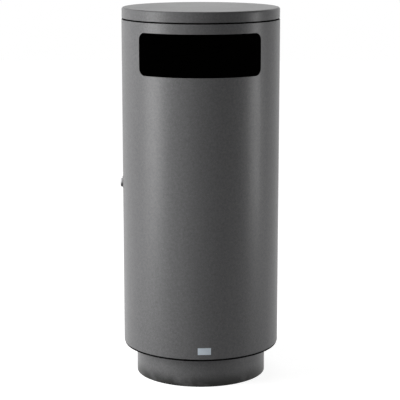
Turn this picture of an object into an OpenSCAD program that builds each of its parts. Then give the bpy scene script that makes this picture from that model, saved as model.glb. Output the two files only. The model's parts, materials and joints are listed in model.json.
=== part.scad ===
// Round street litter bin: a hinged front door with a wide throw-in opening, a fixed rear shell,
// a flat lid, a set-back plinth and a lift-out liner with a bail.
// Millimetres. +Z is up and the origin is on the ground at the centre of the plinth. The opening
// faces -Y. Angles round the body are counted from the front (-Y) towards +X.

/* [Body] */
// Outside diameter of the body
body_d = 400; // [330:1:480]
// Height over the lid
total_h = 945; // [780:1:1150]
// Sheet thickness of the door and the rear shell
shell_t = 2; // [1.5:0.1:3]
// Thickness of the floor plate
floor_t = 4; // [2:0.5:5]
// How far the floor plate and the top ring stand back from the body
plate_recess = 2; // [1:0.5:4]
// Diameter of the drain hole in the floor plate
drain_d = 20; // [8:1:40]

/* [Lid] */
// Height of the lid
lid_h = 26; // [20:0.5:40]
// Sheet thickness of the lid
lid_t = 2; // [1.5:0.1:2.4]
// Radius of the lid's upper edge
lid_edge_r = 5; // [3:0.5:10]
// How far the lid stands back from the body
lid_inset = 0.5; // [0:0.1:1.5]
// Thickness of the top ring that carries the lid
top_ring_t = 3; // [2:0.5:5]
// Width of the top ring
top_ring_w = 48; // [40:1:60]
// Diameter of the bosses inside the lid
lid_boss_d = 12; // [10:0.5:16]
// Distance of the bosses from the edge of the top ring
lid_boss_inset = 26; // [22:1:34]

/* [Throw-in opening] */
// Width of the opening, straight across
opening_w = 298; // [180:1:300]
// Height of the opening
opening_h = 105; // [70:1:140]
// Distance of the opening below the top of the body
opening_drop = 25; // [20:1:60]
// Corner radius of the opening
opening_r = 19; // [5:1:30]

/* [Plinth] */
// How far the plinth stands back from the body
plinth_setback = 33.5; // [20:0.5:50]
// Height of the plinth
plinth_h = 77; // [60:0.5:110]
// Wall thickness of the plinth
plinth_t = 3; // [2:0.5:5]
// Width of the flange that lies on the ground
foot_flange_w = 44; // [36:1:60]
// Thickness of that flange
foot_flange_t = 5; // [3:0.5:8]
// Width of the flange under the floor plate
head_flange_w = 24; // [22:1:40]
// Thickness of that flange
head_flange_t = 3; // [2:0.5:5]
// Diameter of the ground anchor holes
anchor_d = 14; // [8:0.5:18]
// Distance of the anchor holes from the inside of the plinth wall
anchor_inset = 18.5; // [16:0.5:24]
// Diameter of the holes above them, for a socket
access_d = 30; // [24:1:34]
// Diameter of the studs under the floor plate
stud_d = 8; // [6:1:10]
// Distance of the studs from the inside of the plinth wall
stud_inset = 12; // [10:0.5:14]

/* [Door] */
// How far behind the middle the lock-side seam lies
lock_seam_y = 33; // [30:0.5:40]
// Gap of the lock-side seam
lock_seam = 1.8; // [1:0.1:3]
// Gap of the hinge-side seam
hinge_seam = 2.4; // [2.2:0.1:4]
// Gap above and below the door
door_end_gap = 1; // [0.5:0.1:2]
// Width of the curved ribs inside the door and the rear shell
rib_w = 14; // [13:0.5:18]
// Thickness of the ribs
rib_t = 3; // [2:0.5:5]
// Height of the door's ribs from its ends
rib_inset = 2.5; // [2.5:0.5:6]
// Thickness of the angle along the door's free edge
angle_t = 2; // [1.5:0.5:3]
// Depth of that angle
angle_depth = 8; // [6.5:0.5:10]
// How far behind the middle that angle's stop face lies
stop_y = 19; // [19:0.5:21]

/* [Posts and buffers] */
// Thickness of the posts
post_t = 2; // [1.5:0.5:3]
// Distance of the posts from the inside of the shell
post_offset = 8; // [7.5:0.5:11]
// How far the posts turn inwards
post_leg = 10; // [6:0.5:11]
// How far the hinge post stays behind the hinge pin
hinge_post_gap = 16; // [15:0.5:22]
// Thickness of rubber between the door and the lock post
buffer_t = 2.7; // [2:0.1:4]
// Height of a buffer
buffer_h = 24; // [14:1:40]
// Distance of the buffers from the ends of the door
buffer_inset = 95; // [60:1:140]

/* [Hinge] */
// Diameter of the hinge pins
pin_d = 8; // [6:0.1:10]
// How far behind the middle the hinge pins stand
pivot_y = 15; // [12:0.5:20]
// How far the door's sheet reaches past the hinge pins
hinge_tail = 9; // [8:0.5:11]
// Wall thickness of the hinge bushes
bush_t = 1; // [0.8:0.1:2]
// Least metal between a bush and the door's sheet
hinge_wall = 1; // [0.8:0.1:2]
// Height of a hinge block
block_h = 16; // [10:1:24]
// Thickness of the hinge washers
washer_t = 1.2; // [1:0.1:1.3]

/* [Lock] */
// Height of the lock above the ground
lock_z = 497; // [300:1:560]
// Diameter of the lock's head
lock_head_d = 26; // [24:0.5:30]
// How far the head stands proud of the gasket
lock_head_h = 4.6; // [3:0.1:7]
// Diameter of the gasket
gasket_d = 30; // [28:0.5:34]
// Thickness of the gasket at its thinnest
gasket_t = 1; // [0.5:0.1:2]
// Diameter of the lock's barrel
barrel_d = 20; // [18:0.5:21]
// Diameter of the turning core
core_d = 14; // [12:0.5:15]
// Size of the triangle that the key turns
triangle_d = 9; // [6:0.5:10]
// Thickness of the lock's nut
lock_nut_t = 5; // [3:0.5:6]
// Reach of the cam
cam_l = 36; // [30:1:44]
// Width of the cam
cam_w = 16; // [12:1:20]
// Thickness of the cam
cam_t = 3; // [2:0.5:4]
// Side of the square that drives the cam
square_w = 8; // [6:0.5:9]

/* [Badge] */
// Width of the blank badge plate
badge_w = 33; // [20:1:60]
// Height of the badge plate
badge_h = 17.5; // [10:0.5:30]
// Thickness of the badge plate
badge_t = 0.6; // [0.4:0.1:2]
// Distance of the badge's middle from the door's lower edge
badge_rise = 21; // [18:1:60]
// Distance of the badge's middle from the door's centre line
badge_x = 12; // [-40:1:40]

/* [Liner] */
// Sheet thickness of the liner
liner_t = 1.2; // [0.8:0.1:2]
// Distance of the liner's rim below the opening
liner_drop = 56; // [40:1:90]
// Diameter of the rolled rim
bead_d = 8; // [5:0.5:9]
// Radius of the swages round the liner
swage_r = 3; // [2:0.5:5]
// Space between the liner and the ring that it stands in
ring_gap = 3; // [1:0.5:4]
// Height of the ring on the floor plate
ring_h = 12; // [8:1:16]
// Thickness of the ring
ring_t = 2.5; // [2:0.5:4]

/* [Bail] */
// Diameter of the bail's wire
bail_d = 6; // [5:0.1:8]
// Space between the bail and the swing of the door's hinge edge
bail_space = 0.8; // [0.5:0.1:3]
// Diameter of the grip
grip_d = 12; // [10:0.5:16]
// Space between the grip and the rolled rim that it passes
grip_space = 0.8; // [0.5:0.1:2]
// Length of the grip
grip_l = 96; // [60:1:140]
// Distance of the ears below the rolled rim
ear_drop = 1; // [0.5:0.5:6]
// Width of an ear
ear_w = 40; // [36:1:50]
// Height of an ear
ear_h = 22; // [18:1:26]
// Thickness of an ear
ear_t = 2.5; // [2:0.5:3]
// Diameter of the ear rivets
rivet_d = 3.2; // [3:0.2:4.8]

/* [Fasteners] */
// Thread diameter of the lid, rib and cam screws
screw_d = 6; // [4:1:6]
// Number of screws in each rear rib
rib_screw_count = 3; // [2:1:5]

/* [Fits] */
// Radial play of a turning fit
run_gap = 0.06; // [0.03:0.01:0.1]
// Gap between curved faces that are joined
seat_gap = 0.2; // [0.1:0.05:0.3]
// Gap where one moving piece rests on another
rest_gap = 0.3; // [0.2:0.05:0.5]
// Gap round a screw, stud or rivet in its hole
hole_gap = 0.25; // [0.1:0.05:0.5]

/* [Hidden] */
$fn = 256;
over = 1;            // how far a cut runs past a face

body_r = body_d / 2;
shell_ri = body_r - shell_t;
plate_r = body_r - plate_recess;
floor_z = plinth_h + floor_t;
lid_z = total_h - lid_h;
shell_top = lid_z - top_ring_t;
door_z0 = floor_z + door_end_gap;
door_z1 = shell_top - door_end_gap;
top_ring_ri = plate_r - top_ring_w;
lid_r = body_r - lid_inset;
lid_boss_r = plate_r - lid_boss_inset;

plinth_r = body_r - plinth_setback;
plinth_ri = plinth_r - plinth_t;
anchor_r = plinth_ri - anchor_inset;
stud_r = plinth_ri - stud_inset;
anchor_count = 4;
nut_h = 0.8 * stud_d;
stud_l = head_flange_t + nut_h + 3;

opening_z1 = shell_top - opening_drop;
opening_z0 = opening_z1 - opening_h;
opening_half = asin(opening_w / 2 / body_r);

pin_r = pin_d / 2;
bush_ri = pin_r + run_gap;
bush_ro = bush_ri + bush_t;
flange_ro = bush_ro + hinge_wall - seat_gap;
pivot_r = shell_ri - bush_ro - hinge_wall;
pivot_angle = 90 + asin(pivot_y / pivot_r);
pivot = [pivot_r * sin(pivot_angle), -pivot_r * cos(pivot_angle)];
rib_z0 = door_z0 + rib_inset;
rib_z1 = door_z1 - rib_inset;
bush_flange_t = rib_z0 - floor_z - washer_t - rest_gap;
lug_r = bush_ro + 6;
pin_head_r = pin_r + 1.2;
head_h = 3;

door_a0 = -(90 + asin(lock_seam_y / body_r) - arc_deg(lock_seam));
door_a1 = pivot_angle + arc_deg(hinge_tail);
rear_a0 = door_a1 + arc_deg(hinge_seam);
rear_a1 = 360 - (90 + asin(lock_seam_y / body_r));

post_x = shell_ri - post_offset;
post_root_y = sqrt(pow(shell_ri, 2) - pow(post_x, 2));
leg_y = post_root_y - 4;
lock_post_y = stop_y + rest_gap + buffer_t;
hinge_post_y = pivot[1] + hinge_post_gap;
rib_ri = shell_ri - rib_w;
rib_ro = shell_ri - seat_gap;
rear_rib_a0 = 90 + asin((post_root_y + 6) / rib_ri);
rib_screw_r = shell_ri - rib_w / 2;
rib_screw_span = 360 - 2 * rear_rib_a0 - 16;
screw_r = screw_d / 2;
screw_head_h = 0.6 * screw_d;

gasket_x = body_r + gasket_t;
head_x = gasket_x + lock_head_h;
core_face_x = head_x - 0.8;
nut_seat_x = sqrt(pow(shell_ri, 2) - pow(gasket_d / 2 + over, 2));
lock_nut_w = barrel_d + 7;
cam_x = post_x - post_t - 0.5;
barrel_end_x = cam_x + 0.3;
core_shoulder_r = core_d / 2 + 1.5;
shoulder_t = 2.5;

tail_r = norm([body_r - pivot_r, hinge_tail]);
bail_r = pivot_r - tail_r - bail_space - bail_d / 2;
liner_z0 = floor_z + rest_gap;
liner_z1 = opening_z0 - liner_drop;
bead_r = bead_d / 2;
bead_z = liner_z1 - bead_r;
bail_z = liner_z1 - bead_d - ear_drop - ear_h / 2;
liner_r = sqrt(pow(bail_r - grip_d / 2 - grip_space, 2) - pow(bead_z - bail_z, 2)) - bead_r;
ring_ri = liner_r + ring_gap;
bail_droop = acos((liner_r + grip_d / 2 + rest_gap) / bail_r);
pin_tip_x = liner_r + 1.5;
ear_x = liner_r + ear_t + 4.5;
ear_pocket = bail_d + 4;
ear_boss_w = ear_pocket + 2 * ear_t;
rivet_y = ear_w / 2 - 1.5 * rivet_d;
grip_angle = grip_l / bail_r * 180 / PI;

// ---- helpers ---------------------------------------------------------------------------------

// Angle, in degrees, of a length along the body's outside.
function arc_deg(length) = length / body_r * 180 / PI;

// Turns what lies on the front (-Y) to an angle round the body.
module at_angle(angle) rotate([0, 0, angle]) children();

// Upright tube between two heights.
module tube(ro, ri, z0, z1) {
    translate([0, 0, z0]) difference() {
        cylinder(r = ro, h = z1 - z0);
        translate([0, 0, -over]) cylinder(r = ri, h = z1 - z0 + 2 * over);
    }
}

// A flat outline raised between two heights.
module prism(z0, z1) translate([0, 0, z0]) linear_extrude(z1 - z0) children();

// Outline of a stretch of ring between two angles.
module arc(ro, ri, a0, a1) intersection() {
    difference() {
        circle(r = ro);
        circle(r = ri);
    }
    steps = ceil((a1 - a0) / 45);
    polygon([[0, 0], for (i = [0 : steps]) let (a = a0 + i * (a1 - a0) / steps) 2 * ro * [sin(a), -cos(a)]]);
}

// Stretch of an upright tube between two angles.
module sector(ro, ri, z0, z1, a0, a1) prism(z0, z1) arc(ro, ri, a0, a1);

// Upright rod between two heights.
module rod(r, z0, z1) translate([0, 0, z0]) cylinder(r = r, h = z1 - z0);

// Rod along X at the lock's height, on the lock side, between two distances from the axis.
module lock_rod(r, x0, x1, sides = 256) {
    translate([-x1, 0, lock_z]) rotate([0, 90, 0]) cylinder(r = r, h = x1 - x0, $fn = sides);
}

// Hexagon of a width across flats, between two heights.
module hexagon(w, z0, z1) translate([0, 0, z0]) cylinder(d = w / cos(30), h = z1 - z0, $fn = 6);

// Copies at equal angles on a circle.
module around(count, r, a0 = 0) {
    for (i = [0 : count - 1]) rotate([0, 0, a0 + i * 360 / count]) translate([r, 0, 0]) children();
}

// Copies on the rear rib's screw circle.
module rib_screw_places() {
    for (i = [0 : rib_screw_count - 1])
        at_angle(180 + rib_screw_span * (i / (rib_screw_count - 1) - 0.5))
            translate([0, -rib_screw_r, 0]) children();
}

// Both sides, left and right.
module both_sides() {
    children();
    mirror([1, 0, 0]) children();
}

// ---- plinth and floor ------------------------------------------------------------------------

module plinth() color([0.30, 0.30, 0.31]) difference() {
    union() {
        tube(plinth_r, plinth_ri, 0, plinth_h);
        tube(plinth_ri + over, plinth_ri - foot_flange_w, 0, foot_flange_t);
        tube(plinth_ri + over, plinth_ri - head_flange_w, plinth_h - head_flange_t, plinth_h);
    }
    around(anchor_count, anchor_r) rod(anchor_d / 2, -over, foot_flange_t + over);
    around(anchor_count, anchor_r) rod(access_d / 2, plinth_h - head_flange_t - over, plinth_h + over);
    around(anchor_count, stud_r, 45)
        rod(stud_d / 2 + hole_gap, plinth_h - head_flange_t - over, plinth_h + over);
}

module floor_plate() color([0.04, 0.04, 0.04]) difference() {
    rod(plate_r, plinth_h, floor_z);
    rod(drain_d / 2, plinth_h - over, floor_z + over);
    around(anchor_count, anchor_r) rod(access_d / 2, plinth_h - over, floor_z + over);
    translate(pivot) rod(pin_r + run_gap, plinth_h - over, floor_z + over);
    rib_screw_places() rod(screw_r + hole_gap, plinth_h - over, floor_z + over);
}

module plinth_studs() color([0.70, 0.71, 0.72])
    around(anchor_count, stud_r, 45) rod(stud_d / 2, plinth_h - stud_l, plinth_h);

module plinth_nuts() color([0.70, 0.71, 0.72])
    around(anchor_count, stud_r, 45) difference() {
        hexagon(1.6 * stud_d, plinth_h - head_flange_t - nut_h, plinth_h - head_flange_t);
        rod(stud_d / 2 + run_gap, plinth_h - stud_l, plinth_h);
    }

module liner_ring() color([0.04, 0.04, 0.04]) tube(ring_ri + ring_t, ring_ri, floor_z, floor_z + ring_h);

// ---- rear shell, posts and top ---------------------------------------------------------------

module rear_shell() color([0.30, 0.30, 0.31])
    sector(body_r, shell_ri, floor_z, shell_top, rear_a0, rear_a1);

module rear_ribs() color([0.04, 0.04, 0.04]) {
    for (z = [floor_z, shell_top - rib_t]) difference() {
        sector(rib_ro, rib_ri, z, z + rib_t, rear_rib_a0, 360 - rear_rib_a0);
        rib_screw_places() rod(screw_r + hole_gap, z - over, z + rib_t + over);
    }
}

module rib_screws() color([0.70, 0.71, 0.72]) rib_screw_places() {
    union() {
        rod(screw_r, plinth_h - 2, floor_z + rib_t + over);
        hexagon(1.65 * screw_d, floor_z + rib_t, floor_z + rib_t + screw_head_h);
    }
    union() {
        rod(screw_r, shell_top - rib_t - over, lid_z + 2);
        hexagon(1.65 * screw_d, shell_top - rib_t - screw_head_h, shell_top - rib_t);
    }
}

// Upright angle on the +X side: its flange starts at y0 and its leg turns inwards.
module post(y0) prism(floor_z, shell_top) intersection() {
    union() {
        translate([post_x - post_t, y0]) square([post_t, post_root_y + over - y0]);
        translate([post_x - post_leg, leg_y - post_t]) square([post_leg, post_t]);
    }
    circle(r = shell_ri - seat_gap);
}

module lock_post() color([0.04, 0.04, 0.04]) mirror([1, 0, 0]) post(lock_post_y);

module hinge_post() color([0.04, 0.04, 0.04]) post(hinge_post_y);

// Rubber caps on the edge of the lock post, where the door's edge angle lands.
module door_buffers() color([0.02, 0.02, 0.02])
    for (z = [door_z0 + buffer_inset, door_z1 - buffer_inset]) difference() {
        translate([-post_x - 2, stop_y + rest_gap, z - buffer_h / 2])
            cube([post_t + 4, buffer_t + 8, buffer_h]);
        translate([-post_x - seat_gap, lock_post_y, z - buffer_h / 2 - over])
            cube([post_t + 2 * seat_gap, buffer_t + 8, buffer_h + 2 * over]);
    }

module top_ring() color([0.04, 0.04, 0.04]) difference() {
    tube(plate_r, top_ring_ri, shell_top, lid_z);
    translate(pivot) rod(pin_r + run_gap, shell_top - over, lid_z + over);
    rib_screw_places() rod(screw_r + hole_gap, shell_top - over, lid_z + over);
    around(4, lid_boss_r, 45) rod(screw_r + hole_gap, shell_top - over, lid_z + over);
}

// Half section of a disc with a rounded upper edge.
module lid_section(r, h, edge) {
    square([r - edge, h]);
    square([r, h - edge]);
    translate([r - edge, h - edge]) intersection() {
        circle(r = edge);
        square(edge);
    }
}

module lid() color([0.30, 0.30, 0.31]) difference() {
    translate([0, 0, lid_z]) union() {
        rotate_extrude() difference() {
            lid_section(lid_r, lid_h, lid_edge_r);
            lid_section(lid_r - lid_t, lid_h - lid_t, lid_edge_r - lid_t);
        }
        around(4, lid_boss_r, 45) rod(lid_boss_d / 2, 0, lid_h - lid_t / 2);
    }
    around(4, lid_boss_r, 45) rod(screw_r + run_gap, lid_z - over, total_h - lid_t - 2);
}

module lid_screws() color([0.70, 0.71, 0.72]) around(4, lid_boss_r, 45) union() {
    rod(screw_r, shell_top - over, lid_z + 14);
    hexagon(1.65 * screw_d, shell_top - screw_head_h, shell_top);
}

// ---- hinge -----------------------------------------------------------------------------------

// Headed pins: the lower one comes up through the floor plate, the upper one down through the ring.
module hinge_pins() color([0.70, 0.71, 0.72]) translate(pivot) {
    union() {
        rod(pin_r, plinth_h - over, rib_z0 + rib_t + block_h + 2);
        rod(pin_head_r, plinth_h - head_h, plinth_h);
    }
    union() {
        rod(pin_r, rib_z1 - rib_t - block_h - 2, lid_z + over);
        rod(pin_head_r, lid_z, lid_z + head_h);
    }
}

module hinge_washers() color([0.70, 0.71, 0.72]) translate(pivot) {
    tube(flange_ro, pin_r + run_gap, floor_z, floor_z + washer_t);
    tube(flange_ro, pin_r + run_gap, shell_top - washer_t, shell_top);
}

// What is drawn once for the lower end of the door and mirrored for the upper end.
module door_ends() {
    children();
    translate([0, 0, rib_z0 + rib_z1]) mirror([0, 0, 1]) children();
}

// Outline of a lug round the hinge pin, cut off where the door's sheet passes.
module lug(r) difference() {
    intersection() {
        translate(pivot) circle(r = r);
        circle(r = rib_ro);
    }
    translate(pivot) circle(r = bush_ro + run_gap);
}

module hinge_blocks() color([0.04, 0.04, 0.04]) door_ends()
    prism(rib_z0 + rib_t, rib_z0 + rib_t + block_h) lug(lug_r - 1);

module hinge_bushes() color([0.85, 0.84, 0.80]) door_ends() translate(pivot) union() {
    tube(bush_ro, bush_ri, rib_z0 - over / 2, rib_z0 + rib_t + block_h);
    tube(flange_ro, bush_ri, rib_z0 - bush_flange_t, rib_z0);
}

// ---- door ------------------------------------------------------------------------------------

// Outline of the opening as seen from the front: a rounded rectangle rolled round the body. Each
// corner is [side, upper or lower, start angle of its arc].
module opening_outline() {
    half_arc = opening_half / arc_deg(1);
    corners = [[1, 1, 0], [-1, 1, 90], [-1, -1, 180], [1, -1, 270]];
    steps = 12;
    polygon([for (corner = corners, i = [0 : steps])
        let (a = corner[2] + 90 * i / steps)
        let (along = corner[0] * (half_arc - opening_r) + opening_r * cos(a))
        let (up = corner[1] * (opening_h / 2 - opening_r) + opening_r * sin(a))
        [body_r * sin(arc_deg(along)), opening_z0 + opening_h / 2 + up]]);
}

module opening_cut() rotate([90, 0, 0]) linear_extrude(body_r + over) opening_outline();

module door_shell() color([0.30, 0.30, 0.31]) difference() {
    sector(body_r, shell_ri, door_z0, door_z1, door_a0, door_a1);
    opening_cut();
    lock_rod(barrel_d / 2 + hole_gap, shell_ri - 2 * over, body_r + over);
}

module door_ribs() color([0.04, 0.04, 0.04]) door_ends() prism(rib_z0, rib_z0 + rib_t) {
    difference() {
        arc(rib_ro, rib_ri, door_a0, pivot_angle);
        translate(pivot) circle(r = lug_r - over / 2);
        translate([-body_r, stop_y]) square(body_r);
    }
    lug(lug_r);
}

// Angle along the free edge: one leg follows the sheet, the other stops on the buffers.
module edge_angle() color([0.04, 0.04, 0.04]) {
    z0 = rib_z0 + rib_t;
    z1 = rib_z1 - rib_t;
    stop_angle = 90 + asin(stop_y / rib_ro);
    prism(z0, z1) intersection() {
        union() {
            arc(rib_ro, rib_ro - angle_t, door_a0 + 1, -stop_angle);
            translate([-rib_ro, stop_y - angle_t]) square([angle_depth + over, angle_t]);
        }
        circle(r = rib_ro);
    }
}

module badge_plate() color([0.72, 0.73, 0.74]) {
    half = arc_deg(badge_w) / 2;
    middle = arc_deg(badge_x);
    z = door_z0 + badge_rise;
    sector(body_r + badge_t, body_r, z - badge_h / 2, z + badge_h / 2, middle - half, middle + half);
}

// ---- lock ------------------------------------------------------------------------------------

module lock_housing() color([0.80, 0.81, 0.82]) difference() {
    union() {
        lock_rod(lock_head_d / 2 - 1, head_x - over, head_x);
        lock_rod(lock_head_d / 2, gasket_x, head_x - over);
        lock_rod(barrel_d / 2, barrel_end_x, gasket_x + over);
    }
    lock_rod(core_d / 2 + run_gap, barrel_end_x - over, head_x + over);
    lock_rod(core_shoulder_r + run_gap, core_face_x - shoulder_t - run_gap, head_x + over);
}

module lock_gasket() color([0.02, 0.02, 0.02]) difference() {
    lock_rod(gasket_d / 2, shell_ri - 2 * over, gasket_x);
    lock_rod(barrel_d / 2 + run_gap, shell_ri - 3 * over, gasket_x + over);
    rod(body_r, lock_z - gasket_d, lock_z + gasket_d);
}

module lock_nut() color([0.70, 0.71, 0.72]) difference() {
    lock_rod(lock_nut_w / 2 / cos(30), nut_seat_x - lock_nut_t, nut_seat_x, sides = 6);
    lock_rod(barrel_d / 2 + run_gap, nut_seat_x - lock_nut_t - over, nut_seat_x + over);
}

// Square along the lock's axis.
module lock_square(w, x0, x1) translate([-x1, -w / 2, lock_z - w / 2]) cube([x1 - x0, w, w]);

module lock_core() color([0.55, 0.56, 0.58]) difference() {
    union() {
        lock_rod(core_shoulder_r, core_face_x - shoulder_t, core_face_x);
        lock_rod(core_d / 2, cam_x + rest_gap, core_face_x - over);
        lock_square(square_w, cam_x - cam_t, cam_x + over);
    }
    difference() {
        lock_rod(core_d / 2 - 1, core_face_x - 5, core_face_x + over);
        lock_rod(triangle_d / 2, core_face_x - 6, core_face_x + 2 * over, sides = 3);
    }
    lock_rod(screw_r / 2 + run_gap, cam_x - cam_t - over, cam_x + 8);
}

// At rest the cam hangs down, clear of the lock post: a quarter turn takes it behind the post.
module lock_cam() color([0.70, 0.71, 0.72]) difference() {
    union() {
        lock_rod(cam_w / 2, cam_x - cam_t, cam_x);
        translate([-cam_x, -cam_w / 2, lock_z - cam_l]) cube([cam_t, cam_w, cam_l]);
    }
    lock_square(square_w + 2 * run_gap, cam_x - cam_t - over, cam_x + over);
}

module cam_washer() color([0.70, 0.71, 0.72]) difference() {
    lock_rod(screw_d, cam_x - cam_t - 1.2, cam_x - cam_t);
    lock_rod(screw_r / 2 + run_gap, cam_x - cam_t - 2, cam_x);
}

module cam_screw() color([0.70, 0.71, 0.72]) union() {
    lock_rod(screw_r / 2, cam_x - cam_t - 2, cam_x + 6);
    lock_rod(0.9 * screw_d, cam_x - cam_t - 1.2 - screw_head_h, cam_x - cam_t - 1.2, sides = 6);
}

// ---- liner -----------------------------------------------------------------------------------

module liner_bucket() color([0.62, 0.64, 0.65]) difference() {
    rotate_extrude() {
        difference() {
            union() {
                translate([liner_r - liner_t, liner_z0]) square([liner_t, bead_z - liner_z0]);
                translate([0, liner_z0]) square([liner_r, liner_t]);
                for (z = swage_heights()) translate([liner_r - liner_t, z]) circle(r = swage_r + liner_t);
            }
            for (z = swage_heights()) translate([liner_r - liner_t, z]) circle(r = swage_r);
            for (z = swage_heights())
                translate([liner_r - 3 * liner_t - swage_r - over, z - swage_r - 2 * liner_t])
                    square([2 * liner_t + swage_r + over, 2 * swage_r + 4 * liner_t]);
        }
        translate([liner_r, bead_z]) circle(r = bead_r);
    }
    ear_rivet_places() rotate([0, 90, 0])
        translate([0, 0, liner_r - 3 * over]) cylinder(r = rivet_d / 2 + run_gap, h = 6 * over, $fn = 48);
}

// Two rings pressed outwards, a third of the way from either end.
function swage_heights() = [for (k = [1, 2]) liner_z0 + k * (bail_z - ear_h - liner_z0) / 3];

// The four places of the ear rivets, at the bail's height.
module ear_rivet_places() both_sides()
    for (side = [-1, 1]) translate([0, side * rivet_y, bail_z]) children();

module liner_ears() color([0.55, 0.57, 0.58]) both_sides() difference() {
    union() {
        intersection() {
            tube(liner_r + seat_gap + ear_t, liner_r + seat_gap, bail_z - ear_h / 2, bail_z + ear_h / 2);
            translate([0, -ear_w / 2, bail_z - ear_h / 2]) cube([body_r, ear_w, ear_h]);
        }
        translate([liner_r, -ear_boss_w / 2, bail_z - ear_h / 2]) cube([ear_x - liner_r, ear_boss_w, ear_h]);
    }
    rod(liner_r + seat_gap, bail_z - ear_h, bail_z + ear_h);
    translate([0, -ear_pocket / 2, bail_z - ear_pocket / 2]) cube([ear_x - ear_t, ear_pocket, ear_pocket]);
    translate([liner_r, 0, bail_z]) rotate([0, 90, 0]) cylinder(r = bail_d / 2 + run_gap, h = 20);
    for (side = [-1, 1]) translate([liner_r - 5, side * rivet_y, bail_z])
        rotate([0, 90, 0]) cylinder(r = rivet_d / 2 + run_gap, h = 20, $fn = 48);
}

module ear_rivets() color([0.70, 0.71, 0.72]) ear_rivet_places() rotate([0, 90, 0]) union() {
    translate([0, 0, liner_r - liner_t - 2.5]) cylinder(r = rivet_d / 2, h = liner_t + ear_t + 3.5, $fn = 48);
    translate([0, 0, liner_r + seat_gap + ear_t]) cylinder(r = 0.8 * rivet_d, h = 1.4, $fn = 48);
    translate([0, 0, liner_r - liner_t - 3.9]) cylinder(r = 0.8 * rivet_d, h = 1.4, $fn = 48);
}

// Places what is drawn with the bail level at its rest angle, a little below level at the front.
module at_bail() translate([0, 0, bail_z]) rotate([bail_droop, 0, 0]) children();

module bail_wire() color([0.62, 0.64, 0.65]) at_bail() union() {
    rotate([0, 0, 180]) rotate_extrude(angle = 180) translate([bail_r, 0]) circle(d = bail_d, $fn = 32);
    both_sides() {
        translate([pin_tip_x, 0, 0]) rotate([0, 90, 0])
            cylinder(d = bail_d, h = bail_r - pin_tip_x, $fn = 32);
        translate([bail_r, 0, 0]) sphere(d = bail_d, $fn = 32);
    }
}

module bail_grip() color([0.03, 0.03, 0.03]) at_bail()
    rotate([0, 0, 270 - grip_angle / 2]) rotate_extrude(angle = grip_angle)
        translate([bail_r, 0]) difference() {
            circle(d = grip_d, $fn = 48);
            circle(d = bail_d + 2 * run_gap, $fn = 32);
        }

// ---- drawing ---------------------------------------------------------------------------------

plinth();
floor_plate();
plinth_studs();
plinth_nuts();
liner_ring();
rear_shell();
rear_ribs();
rib_screws();
lock_post();
hinge_post();
door_buffers();
hinge_pins();
hinge_washers();
top_ring();
lid();
lid_screws();
door_shell();
door_ribs();
hinge_blocks();
hinge_bushes();
edge_angle();
badge_plate();
lock_housing();
lock_gasket();
lock_nut();
lock_core();
lock_cam();
cam_washer();
cam_screw();
liner_bucket();
liner_ears();
ear_rivets();
bail_wire();
bail_grip();
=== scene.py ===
"""Round street litter bin: finishes, weld beads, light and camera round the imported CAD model."""
import json
import math
import random

import bmesh
import bpy
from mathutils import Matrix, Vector

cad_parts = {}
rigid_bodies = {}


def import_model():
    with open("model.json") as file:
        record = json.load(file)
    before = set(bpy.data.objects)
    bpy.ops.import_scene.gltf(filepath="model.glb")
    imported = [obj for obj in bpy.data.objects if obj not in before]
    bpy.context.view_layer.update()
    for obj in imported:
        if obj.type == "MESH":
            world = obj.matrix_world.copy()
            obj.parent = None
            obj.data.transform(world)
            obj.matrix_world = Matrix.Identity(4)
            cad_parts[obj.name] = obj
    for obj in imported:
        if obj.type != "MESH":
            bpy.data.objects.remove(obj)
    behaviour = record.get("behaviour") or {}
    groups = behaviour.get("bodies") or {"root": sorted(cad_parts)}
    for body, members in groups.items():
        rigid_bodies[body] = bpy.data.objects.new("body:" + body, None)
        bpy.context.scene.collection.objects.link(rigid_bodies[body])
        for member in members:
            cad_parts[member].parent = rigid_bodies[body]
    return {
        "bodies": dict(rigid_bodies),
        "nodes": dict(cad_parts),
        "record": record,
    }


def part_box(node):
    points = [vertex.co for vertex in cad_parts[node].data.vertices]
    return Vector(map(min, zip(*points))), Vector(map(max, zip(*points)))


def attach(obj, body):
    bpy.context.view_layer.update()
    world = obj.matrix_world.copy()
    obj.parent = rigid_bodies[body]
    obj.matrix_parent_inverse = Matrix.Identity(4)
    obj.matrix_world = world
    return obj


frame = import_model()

# Only the model stays of what the scene holds at the start.
KEEP = set(frame["nodes"].values()) | set(frame["bodies"].values())
for stray in [o for o in bpy.data.objects if o not in KEEP]:
    bpy.data.objects.remove(stray)
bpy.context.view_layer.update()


# ---- sizes taken from the frame ------------------------------------------------------------------

BODY_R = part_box("door_shell")[1].x
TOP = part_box("lid")[1].z
MIDDLE = Vector((0, 0, TOP / 2))


# ---- node materials ------------------------------------------------------------------------------

# Lengths are in metres. A painted shade darkens the coat from the floor up to the first of these lengths.
# The painted shade inside begins SKIN below the body's outer face, and its border is FADE wide.
BEVEL_SAMPLES = 4
FOOT_SHADE_TOP = 0.04
SKIN = 0.0025
FADE = 0.001
STUD_PITCH = 0.00125
FINGER_RING = 0.006


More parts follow.
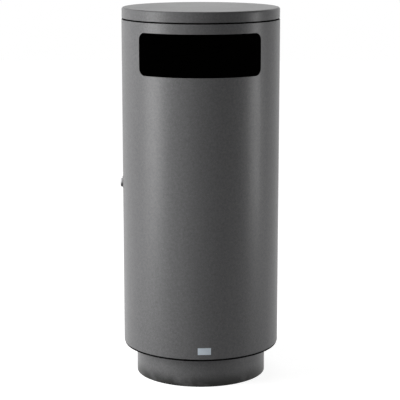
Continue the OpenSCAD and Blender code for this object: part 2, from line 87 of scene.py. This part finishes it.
class Finish:
    """A material on one Principled shader. Its textures lie in the object's own metres."""

    def __init__(self, name, color, roughness, metallic=0.0, specular=0.5):
        self.material = bpy.data.materials.new(name)
        self.material.use_nodes = True
        self.tree = self.material.node_tree
        self.shader = self.tree.nodes["Principled BSDF"]
        self.color = tuple(color) + (1.0,)
        self.set(self.shader, {"Base Color": self.color, "Roughness": roughness, "Metallic": metallic,
                               "Specular IOR Level": specular})
        self.place = self.node("ShaderNodeTexCoord")

    def set(self, node, inputs):
        """Links the inputs that are given as sockets and sets the rest."""
        for key, value in inputs.items():
            if isinstance(value, bpy.types.NodeSocket):
                self.tree.links.new(value, node.inputs[key])
            else:
                node.inputs[key].default_value = value

    def node(self, kind, inputs=None, **settings):
        made = self.tree.nodes.new(kind)
        for key, value in settings.items():
            setattr(made, key, value)
        self.set(made, inputs or {})
        return made

    def math(self, operation, a, b=0.0, c=0.0):
        return self.node("ShaderNodeMath", {0: a, 1: b, 2: c}, operation=operation).outputs[0]

    def span(self, value, low, high, out_low=0.0, out_high=1.0):
        """The value carried from low..high to out_low..out_high, smoothly and held at the ends."""
        inputs = {"Value": value, "From Min": low, "From Max": high,
                  "To Min": out_low, "To Max": out_high}
        return self.node("ShaderNodeMapRange", inputs, interpolation_type="SMOOTHSTEP").outputs[0]

    def point(self, stretch=(1, 1, 1)):
        inputs = {"Vector": self.place.outputs["Object"], "Scale": stretch}
        return self.node("ShaderNodeMapping", inputs).outputs[0]

    def noise(self, per_metre, detail=3.0, stretch=(1, 1, 1)):
        inputs = {"Vector": self.point(stretch), "Scale": per_metre, "Detail": detail}
        return self.node("ShaderNodeTexNoise", inputs).outputs["Fac"]

    def cells(self, per_metre, output="Color"):
        inputs = {"Vector": self.point(), "Scale": per_metre}
        return self.node("ShaderNodeTexVoronoi", inputs).outputs[output]

    def axis(self, letter, source="Object"):
        """One coordinate of the place, or of the normal when the source says so."""
        split = self.node("ShaderNodeSeparateXYZ", {0: self.place.outputs[source]})
        return split.outputs[letter]

    def level(self, color):
        """The first channel of a colour."""
        return self.node("ShaderNodeSeparateColor", {0: color}).outputs[0]

    def radius(self):
        """Distance from the bin's axis."""
        x, y = self.axis("X"), self.axis("Y")
        return self.math("SQRT", self.math("MULTIPLY_ADD", x, x, self.math("MULTIPLY", y, y)))

    def outwards(self):
        """How far the surface faces away from the bin's axis, from -1 to 1."""
        flat = self.node("ShaderNodeVectorMath", {0: self.place.outputs["Object"], 1: (1, 1, 0)},
                         operation="MULTIPLY").outputs[0]
        unit = self.node("ShaderNodeVectorMath", {0: flat}, operation="NORMALIZE").outputs[0]
        return self.node("ShaderNodeVectorMath", {0: unit, 1: self.place.outputs["Normal"]},
                         operation="DOT_PRODUCT").outputs["Value"]

    def edges(self, width):
        """1 along convex and concave edges, 0 on open faces."""
        rounded = self.node("ShaderNodeBevel", {"Radius": width}, samples=BEVEL_SAMPLES).outputs[0]
        normal = self.node("ShaderNodeNewGeometry").outputs["Normal"]
        same = self.node("ShaderNodeVectorMath", {0: rounded, 1: normal}, operation="DOT_PRODUCT")
        return self.span(same.outputs["Value"], 0.995, 0.85)

    def shade(self, fac, low, high):
        """The base colour scaled by low..high as fac goes from 0 to 1."""
        factor = self.node("ShaderNodeMapRange", {"Value": fac, "To Min": low, "To Max": high}).outputs[0]
        inputs = {0: self.color[:3], "Scale": factor}
        return self.node("ShaderNodeVectorMath", inputs, operation="SCALE").outputs[0]

    def blend(self, fac, a, b):
        inputs = {"Factor": fac, "A": a, "B": b}
        mixed = self.tree.nodes.new("ShaderNodeMix")
        mixed.data_type = "RGBA"
        for key, value in inputs.items():
            socket = next(s for s in mixed.inputs if s.name == key and s.enabled)
            if isinstance(value, bpy.types.NodeSocket):
                self.tree.links.new(value, socket)
            else:
                socket.default_value = value
        return next(s for s in mixed.outputs if s.enabled)

    def paint(self, color):
        self.tree.links.new(color, self.shader.inputs["Base Color"])

    def gloss(self, fac, low, high):
        self.tree.links.new(self.span(fac, 0.3, 0.7, low, high), self.shader.inputs["Roughness"])

    def relief(self, *layers):
        """Bumps, each given as (height socket, depth in metres)."""
        normal = None
        for height, depth in layers:
            inputs = {"Height": height, "Distance": depth}
            if normal:
                inputs["Normal"] = normal
            normal = self.node("ShaderNodeBump", inputs).outputs[0]
        self.tree.links.new(normal, self.shader.inputs["Normal"])


def grey(value):
    """A neutral colour, a touch cooler than grey."""
    return (value, value, value * 1.02)


def body_paint(name, shade_inside, roughness=0.37, specular=0.2):
    """Fine-textured metallic powder coat, with painted shade darkening it at the foot and lighter edges
    that are partly wear and partly a painted highlight. A piece shaded inside gets a painted shade of
    near black on its inner faces.
    """
    f = Finish(name, grey(0.115), roughness, specular=specular)
    grain = f.noise(850, 2.0)
    flakes = f.span(f.level(f.cells(1900)), 0.8, 1.0)
    clouds = f.noise(5.0, 4.0, (1, 1, 0.35))
    streaks = f.noise(28, 3.0, (1, 1, 0.06))
    mottle = f.noise(170, 3.0)
    # Lighter edges: partly wear, and partly a painted highlight, such as the one along the lid's fillet.
    lighter_edges = f.math("MULTIPLY", f.edges(0.0012), f.span(f.noise(60, 4.0), 0.42, 0.62))
    # Painted shade: the coat darkens to near black in noisy patches over the last few centimetres above
    # the floor.
    low_down = f.span(f.axis("Z"), FOOT_SHADE_TOP, 0.0)
    foot_shade = f.math("MULTIPLY", low_down, f.span(f.noise(15, 5.0), 0.22, 0.52))
    mixed = f.math("MULTIPLY_ADD", clouds, 0.3, f.math("MULTIPLY", streaks, 0.15))
    shade = f.shade(f.math("MULTIPLY_ADD", mottle, 1.1, mixed), 0.59, 1.11)
    shade = f.blend(f.math("MULTIPLY", flakes, 0.3), shade, grey(0.32) + (1,))
    shade = f.blend(f.math("MULTIPLY", lighter_edges, 0.35), shade, grey(0.26) + (1,))
    shade = f.blend(foot_shade, shade, (0.009, 0.009, 0.008, 1))
    rough = f.span(clouds, 0.3, 0.7, roughness - 0.03, roughness + 0.03)
    if shade_inside:
        # Painted shade: the inner faces are painted near black, standing in for the shade inside the bin.
        under_skin = f.span(f.radius(), BODY_R - SKIN, BODY_R - SKIN - FADE)
        below_top = f.span(f.axis("Z"), TOP - FADE, TOP - 1.5 * FADE)
        behind = f.math("MULTIPLY", under_skin, below_top)
        inside = f.math("MAXIMUM", f.span(f.outwards(), -0.02, -0.08), behind)
        shade = f.blend(inside, shade, (0.002, 0.002, 0.002, 1))
        rough = f.math("MAXIMUM", rough, f.math("MULTIPLY", inside, 0.95))
    f.paint(shade)
    f.set(f.shader, {"Roughness": rough})
    f.relief((grain, 0.00012), (f.noise(230, 2.0), 0.00008))
    return f.material


def black_paint(name="black_powder_coat", value=0.012, specular=0.25, dusty=0.06):
    """Matte black powder coat with a little dust."""
    f = Finish(name, grey(value), 0.62, specular=specular)
    dust = f.math("MULTIPLY", f.span(f.noise(40, 5.0), 0.48, 0.7), dusty)
    lighter_edges = f.math("MULTIPLY", f.edges(0.0008), f.span(f.noise(90, 4.0), 0.45, 0.65))
    shade = f.blend(dust, f.shade(f.noise(9), 0.8, 1.2), (0.12, 0.115, 0.105, 1))
    f.paint(f.blend(f.math("MULTIPLY", lighter_edges, 0.25), shade, grey(0.07) + (1,)))
    f.gloss(f.noise(14), 0.55, 0.7)
    f.relief((f.noise(900, 2.0), 0.0001))
    return f.material


def zinc(name="zinc_plate", thread=0.0):
    """Bright zinc plating, clouded where it has dulled. Thread is the pitch of the rings on a stud."""
    f = Finish(name, (0.60, 0.61, 0.63), 0.34, metallic=1.0)
    dull = f.span(f.noise(120, 4.0), 0.4, 0.66)
    bright = f.shade(f.noise(30), 0.9, 1.08)
    f.paint(f.blend(f.math("MULTIPLY", dull, 0.55), bright, (0.42, 0.42, 0.40, 1)))
    f.gloss(f.noise(90, 3.0), 0.26, 0.5)
    layers = [(f.noise(1400, 2.0), 0.00004)]
    if thread:
        turns = f.math("MULTIPLY", f.axis("Z"), math.tau / thread)
        layers.append((f.math("SINE", turns), 0.0004))
    f.relief(*layers)
    return f.material


def galvanised(name, spangle, light):
    """Hot-dipped zinc. Spangle counts the crystals in a metre, and light scales the colour."""
    f = Finish(name, (0.29 * light, 0.298 * light, 0.305 * light), 0.48, metallic=0.8)
    crystals = f.level(f.cells(spangle))
    bloom = f.span(f.noise(12, 5.0), 0.45, 0.7)
    bright = f.shade(crystals, 0.78, 1.12)
    f.paint(f.blend(f.math("MULTIPLY", bloom, 0.35), bright, (0.33, 0.34, 0.34, 1)))
    f.gloss(crystals, 0.4, 0.58)
    f.relief((f.noise(380, 3.0), 0.00008), (f.cells(spangle, "Distance"), 0.00006))
    return f.material


def chrome():
    """Polished plate with fine wiping marks, and a painted shade that darkens it where it faces down."""
    f = Finish("chrome_plate", (0.62, 0.62, 0.63), 0.1, metallic=1.0)
    # Painted shade: the faces that turn downwards are darkened nearly to black.
    under = f.span(f.axis("Z", "Normal"), 0.35, -0.35)
    f.paint(f.blend(f.math("MULTIPLY", under, 0.92), f.shade(f.noise(150, 4.0), 0.92, 1.04),
                    (0.03, 0.03, 0.03, 1)))
    f.gloss(f.noise(500, 5.0, (0.15, 1, 1)), 0.05, 0.17)
    f.relief((f.noise(1600, 2.0, (0.1, 1, 1)), 0.000015))
    return f.material


def lock_steel():
    """Satin steel, turned on a lathe, so that its marks run round the lock's axis."""
    f = Finish("lock_steel", (0.40, 0.41, 0.42), 0.36, metallic=1.0)
    f.paint(f.shade(f.noise(260, 4.0), 0.85, 1.1))
    f.gloss(f.noise(2200, 2.0, (1, 0.2, 0.2)), 0.28, 0.46)
    f.relief((f.noise(2600, 2.0, (1, 0.15, 0.15)), 0.00003))
    return f.material


def rubber():
    """Moulded rubber with a bloom of dust."""
    f = Finish("moulded_rubber", grey(0.018), 0.78, specular=0.3)
    f.paint(f.blend(f.math("MULTIPLY", f.span(f.noise(70, 4.0), 0.45, 0.7), 0.12),
                    f.shade(f.noise(25), 0.8, 1.2), (0.13, 0.12, 0.11, 1)))
    f.gloss(f.noise(160), 0.68, 0.88)
    f.relief((f.noise(1100, 3.0), 0.00012))
    return f.material


def nylon():
    """Natural nylon, yellowed a little and grey where it has been handled."""
    f = Finish("natural_nylon", (0.74, 0.72, 0.66), 0.45)
    f.paint(f.blend(f.math("MULTIPLY", f.span(f.noise(180, 4.0), 0.45, 0.7), 0.3),
                    f.shade(f.noise(60), 0.92, 1.05), (0.45, 0.43, 0.38, 1)))
    f.gloss(f.noise(240), 0.38, 0.55)
    f.relief((f.noise(1500, 2.0), 0.00005))
    return f.material


def grip_plastic():
    """Moulded black plastic with rings for the fingers."""
    f = Finish("grip_plastic", grey(0.022), 0.5)
    f.paint(f.blend(f.math("MULTIPLY", f.edges(0.001), 0.3), f.shade(f.noise(80, 4.0), 0.8, 1.25),
                    grey(0.08) + (1,)))
    f.gloss(f.noise(300, 3.0), 0.42, 0.62)
    rings = f.math("SINE", f.math("MULTIPLY", f.axis("X"), math.tau / FINGER_RING))
    f.relief((rings, 0.0006), (f.noise(1300, 2.0), 0.00006))
    return f.material


def badge_plate():
    """Plain satin plate, brushed along its length and without any marking."""
    f = Finish("badge_plate", (0.70, 0.78, 0.86), 0.4, specular=0.3)
    f.paint(f.shade(f.noise(700, 3.0, (0.08, 1, 1)), 0.94, 1.05))
    f.gloss(f.noise(420, 3.0, (0.1, 1, 1)), 0.34, 0.48)
    f.relief((f.noise(1600, 2.0, (0.05, 1, 1)), 0.00002))
    return f.material


def weld_metal():
    """Weld under the black paint of its frame."""
    f = Finish("painted_weld", grey(0.016), 0.5, specular=0.4)
    f.paint(f.shade(f.noise(300, 4.0), 0.7, 1.5))
    f.gloss(f.noise(220), 0.42, 0.6)
    f.relief((f.noise(900, 3.0), 0.0001))
    return f.material


def finish_nodes():
    """Every CAD node gets the finish of its record slot, or the variant named for it."""
    # Near black with no specular: the recessed floor plate and top ring carry a black coat darkened into
    # a painted shade of the gaps below the lid and along the body's lower edge.
    gap_shade_black = black_paint("gap_shade_black", value=0.004, specular=0.0, dusty=0.01)
    by_slot = {
        "body_paint": body_paint("metallic_powder_coat", shade_inside=True),
        "black_paint": black_paint(),
        "zinc": zinc(),
        "galvanised": galvanised("galvanised_sheet", 70, 1.0),
        "chrome": chrome(),
        "lock_steel": lock_steel(),
        "rubber": rubber(),
        "nylon": nylon(),
        "grip_plastic": grip_plastic(),
        "badge": badge_plate(),
    }
    by_node = {
        "plinth": body_paint("plinth_powder_coat", shade_inside=False),
        "lid": body_paint("lid_powder_coat", shade_inside=True, roughness=0.33, specular=0.14),
        "lid_screws": black_paint("blackened_screws", value=0.02, specular=0.3),
        "plinth_studs": zinc("zinc_studs", thread=STUD_PITCH),
        "bail_wire": galvanised("galvanised_wire", 400, 1.1),
        "floor_plate": gap_shade_black,
        "top_ring": gap_shade_black,
    }
    slots = {part["node"]: part["material_slot"] for part in frame["record"]["subparts"]}
    for name, node in frame["nodes"].items():
        for slot in node.material_slots:
            slot.material = by_node.get(name, by_slot[slots[name]])


# ---- weld beads ----------------------------------------------------------------------------------

# Metres and radians. A bead's wave, jitter and tip are shares of its radius, and its taper is a share
# of its length.
BEAD_R = 0.0016
BEAD_INSET = 0.0004
BEAD_LENGTH = 0.026
BEAD_RIPPLE = 0.0021
BEAD_WAVE = 0.13
BEAD_JITTER = 0.02
BEAD_TAPER = 0.12
BEAD_TIP = 0.15
BEAD_SIDES = 10
RINGS_PER_RIPPLE = 6
WELDS_PER_RIB = 8
WELD_SPREAD = math.radians(140)
WELD_JITTER = 0.01


def heights(name):
    """The levels of a node's vertices, lowest first, in metres."""
    return sorted({round(v.co.z, 4) for v in frame["nodes"][name].data.vertices})


def outer_radius(name):
    """How far a node reaches from the bin's axis."""
    return max(math.hypot(v.co.x, v.co.y) for v in frame["nodes"][name].data.vertices)


def bead(mesh, radius, turn, z, rng):
    """One rippled bead along the arc of the given radius. Turn is counted from the front, in radians."""
    steps = RINGS_PER_RIPPLE * round(BEAD_LENGTH / BEAD_RIPPLE)
    rings = []
    for step in range(steps + 1):
        along = step / steps
        from_end = min(along, 1 - along, BEAD_TAPER)
        taper = math.sin(math.pi / 2 * from_end / BEAD_TAPER) ** 0.5
        wave = abs(math.sin(math.pi * along * BEAD_LENGTH / BEAD_RIPPLE))
        jitter = rng.uniform(-BEAD_JITTER, BEAD_JITTER)
        size = BEAD_R * (1 + BEAD_WAVE * wave + jitter) * max(taper, BEAD_TIP)
        angle = turn + (along - 0.5) * BEAD_LENGTH / radius
        outwards = Vector((math.sin(angle), -math.cos(angle), 0))
        ring = []
        for side in range(BEAD_SIDES):
            spin = math.tau * side / BEAD_SIDES
            level = Vector((0, 0, z + size * math.sin(spin)))
            ring.append(mesh.verts.new(outwards * (radius + size * math.cos(spin)) + level))
        rings.append(ring)
    for a, b in zip(rings, rings[1:]):
        for side in range(BEAD_SIDES):
            after = (side + 1) % BEAD_SIDES
            mesh.faces.new((a[side], a[after], b[after], b[side]))
    mesh.faces.new(list(reversed(rings[0])))
    mesh.faces.new(rings[-1])


def weld_beads(name, ribs, body, front, metal):
    """Stitch welds in the corners between a shell and the inner faces of its two ribs."""
    rng = random.Random(name)
    levels = heights(ribs)
    radius = outer_radius(ribs) - BEAD_INSET
    mesh = bmesh.new()
    for z in (levels[1], levels[-2]):
        for place in range(WELDS_PER_RIB):
            share = place / (WELDS_PER_RIB - 1) - 0.5
            turn = front + WELD_SPREAD * share + rng.uniform(-WELD_JITTER, WELD_JITTER)
            bead(mesh, radius, turn, z, rng)
    data = bpy.data.meshes.new(name)
    bmesh.ops.recalc_face_normals(mesh, faces=mesh.faces)
    mesh.to_mesh(data)
    mesh.free()
    data.shade_smooth()
    data.materials.append(metal)
    piece = bpy.data.objects.new(name, data)
    bpy.context.collection.objects.link(piece)
    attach(piece, body)


# ---- light, floor and camera ---------------------------------------------------------------------

def seen(tree):
    """1 for the rays that show the background: camera, glossy and transmission rays."""
    path = tree.nodes.new("ShaderNodeLightPath")
    total = path.outputs["Is Camera Ray"]
    for ray in ("Is Glossy Ray", "Is Transmission Ray"):
        add = tree.nodes.new("ShaderNodeMath")
        add.operation = "MAXIMUM"
        tree.links.new(total, add.inputs[0])
        tree.links.new(path.outputs[ray], add.inputs[1])
        total = add.outputs[0]
    return total


def white_world(ambient):
    """White where it is seen, and a dim fill for everything else."""
    world = bpy.data.worlds.new("studio")
    bpy.context.scene.world = world
    world.use_nodes = True
    tree = world.node_tree
    strength = tree.nodes.new("ShaderNodeMapRange")
    tree.links.new(seen(tree), strength.inputs["Value"])
    strength.inputs["To Min"].default_value = ambient
    strength.inputs["To Max"].default_value = 1.0
    background = tree.nodes["Background"]
    background.inputs["Color"].default_value = (1, 1, 1, 1)
    tree.links.new(strength.outputs[0], background.inputs["Strength"])


def pale_floor(size, color, glow, near, far):
    """A floor that keeps the bin's shadow. Between near and far it brightens to meet the white world."""
    mesh = bpy.data.meshes.new("floor")
    half = size / 2
    corners = [(-half, -half, 0), (half, -half, 0), (half, half, 0), (-half, half, 0)]
    mesh.from_pydata(corners, [], [(0, 1, 2, 3)])
    floor = bpy.data.objects.new("floor", mesh)
    bpy.context.collection.objects.link(floor)
    material = bpy.data.materials.new("pale_floor")
    material.use_nodes = True
    tree = material.node_tree
    shader = tree.nodes["Principled BSDF"]
    shader.inputs["Base Color"].default_value = (color, color, color, 1)
    shader.inputs["Roughness"].default_value = 0.9
    shader.inputs["Specular IOR Level"].default_value = 0.1
    shader.inputs["Emission Color"].default_value = (1, 1, 1, 1)
    place = tree.nodes.new("ShaderNodeTexCoord")
    away = tree.nodes.new("ShaderNodeVectorMath")
    away.operation = "LENGTH"
    tree.links.new(place.outputs["Object"], away.inputs[0])
    fade = tree.nodes.new("ShaderNodeMapRange")
    tree.links.new(away.outputs["Value"], fade.inputs["Value"])
    for key, value in {"From Min": near, "From Max": far, "To Min": glow, "To Max": 1.0}.items():
        fade.inputs[key].default_value = value
    strength = tree.nodes.new("ShaderNodeMath")
    strength.operation = "MULTIPLY"
    tree.links.new(seen(tree), strength.inputs[0])
    tree.links.new(fade.outputs[0], strength.inputs[1])
    tree.links.new(strength.outputs[0], shader.inputs["Emission Strength"])
    mesh.materials.append(material)


def softbox(name, turn, rise, away, size, power):
    """A rectangular lamp aimed at the bin's middle, its turn counted from the front towards +X."""
    lamp = bpy.data.lights.new(name, "AREA")
    lamp.shape = "RECTANGLE"
    lamp.size, lamp.size_y = size
    lamp.energy = power
    turn, rise = math.radians(turn), math.radians(rise)
    back = Vector((math.sin(turn) * math.cos(rise), -math.cos(turn) * math.cos(rise), math.sin(rise)))
    holder = bpy.data.objects.new(name, lamp)
    holder.location = MIDDLE + back * away
    holder.rotation_mode = "QUATERNION"
    holder.rotation_quaternion = (-back).to_track_quat("-Z", "Y")
    bpy.context.collection.objects.link(holder)


def camera():
    """The standpoint: a long lens, a little above the lid and a little to the right of the front."""
    lens = bpy.data.cameras.new("camera")
    lens.sensor_width = 36.0
    lens.lens = 133.2
    lens.shift_x = -0.002
    holder = bpy.data.objects.new("camera", lens)
    turn = math.radians(0.9)
    pitch = math.radians(11.09)
    away = 3.749
    height = 1.184
    holder.location = (away * math.sin(turn), -away * math.cos(turn), height)
    holder.rotation_euler = (math.pi / 2 - pitch, 0, turn)
    bpy.context.collection.objects.link(holder)
    bpy.context.scene.camera = holder


def light():
    """A soft studio: a broad light from the left, a narrow one from the right and a fill from behind."""
    white_world(ambient=0.02)
    pale_floor(size=16, color=0.45, glow=0.88, near=0.5, far=1.6)
    softbox("key_left", -67, 5, 2.2, (0.9, 1.7), 56)
    softbox("upper_left", -78, 40, 2.2, (0.6, 1.7), 20)
    softbox("strip_right", 84, 0, 2.2, (0.4, 0.9), 18)
    softbox("back_fill", 175, 58, 2.4, (1.6, 1.6), 11)


camera()
light()
finish_nodes()
weld = weld_metal()
weld_beads("door_welds", "door_ribs", "door", 0.0, weld)
weld_beads("shell_welds", "rear_ribs", "frame", math.pi, weld)

bpy.context.scene.view_settings.view_transform = "Standard"
